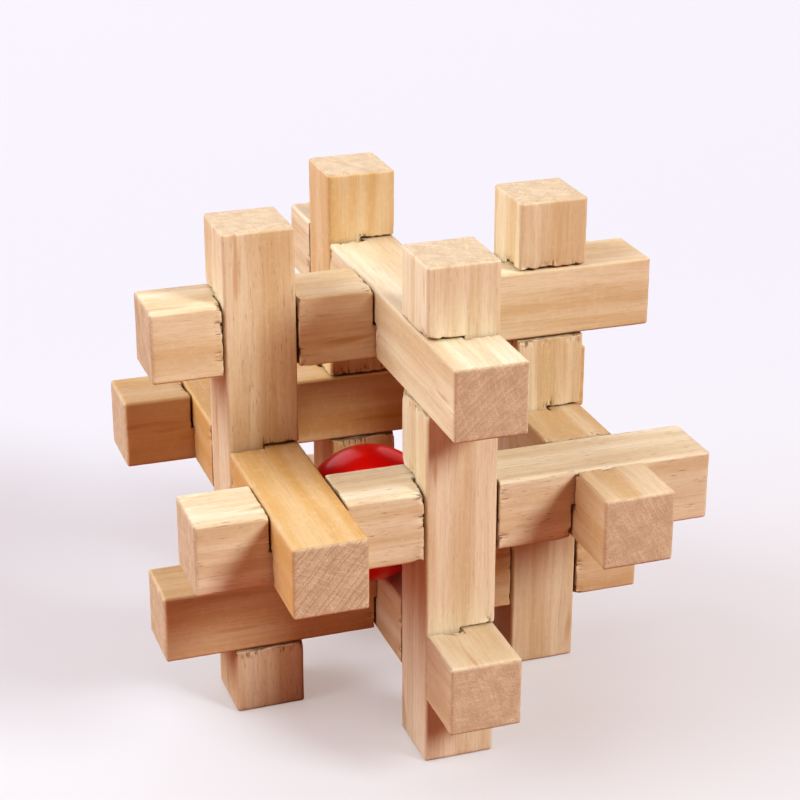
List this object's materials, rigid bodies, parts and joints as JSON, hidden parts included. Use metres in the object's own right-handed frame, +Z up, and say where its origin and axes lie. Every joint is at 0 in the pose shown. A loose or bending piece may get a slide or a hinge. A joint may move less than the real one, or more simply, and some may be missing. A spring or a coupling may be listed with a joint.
{
  "type": "burr puzzle",
  "caption": "Cage-shaped wooden burr puzzle: square bars run along every axis, half-lapped into crossed frames around a loose captive ball.",
  "frame": {"origin": "on the surface that the puzzle stands on, under the centre of the cage", "axes": "+Z up along the posts, +X along the rails to the right, +Y along the beams to the back"},
  "size_m": [0.09, 0.09, 0.09],
  "materials": {
    "bar_wood": "bare, finely sanded",
    "ball_paint": "glossy"
  },
  "bodies": {
    "cage": {"front_post": "bar_wood", "left_post": "bar_wood", "right_post": "bar_wood", "front_rail": "bar_wood", "back_rail": "bar_wood", "top_rail": "bar_wood", "bottom_rail": "bar_wood", "left_beam": "bar_wood", "top_beam": "bar_wood", "bottom_beam": "bar_wood"},
    "right_key": {"right_beam": "bar_wood"},
    "back_key": {"back_post": "bar_wood"},
    "ball": {"captive_ball": "ball_paint"}
  },
  "joints": [
    {"name": "right_key_slide", "type": "slide", "parent": "cage", "child": "right_key", "axis": [0.7071, 0, -0.7071], "range_m": [0, 0.054]},
    {"name": "back_key_slide", "type": "slide", "parent": "cage", "child": "back_key", "axis": [-0.7071, 0.7071, 0], "range_m": [0, 0.054]},
    {"name": "ball_roll", "type": "slide", "parent": "cage", "child": "ball", "axis": [0.5774, 0.5774, 0.5774], "range_m": [0, 0.0278]}
  ]
}
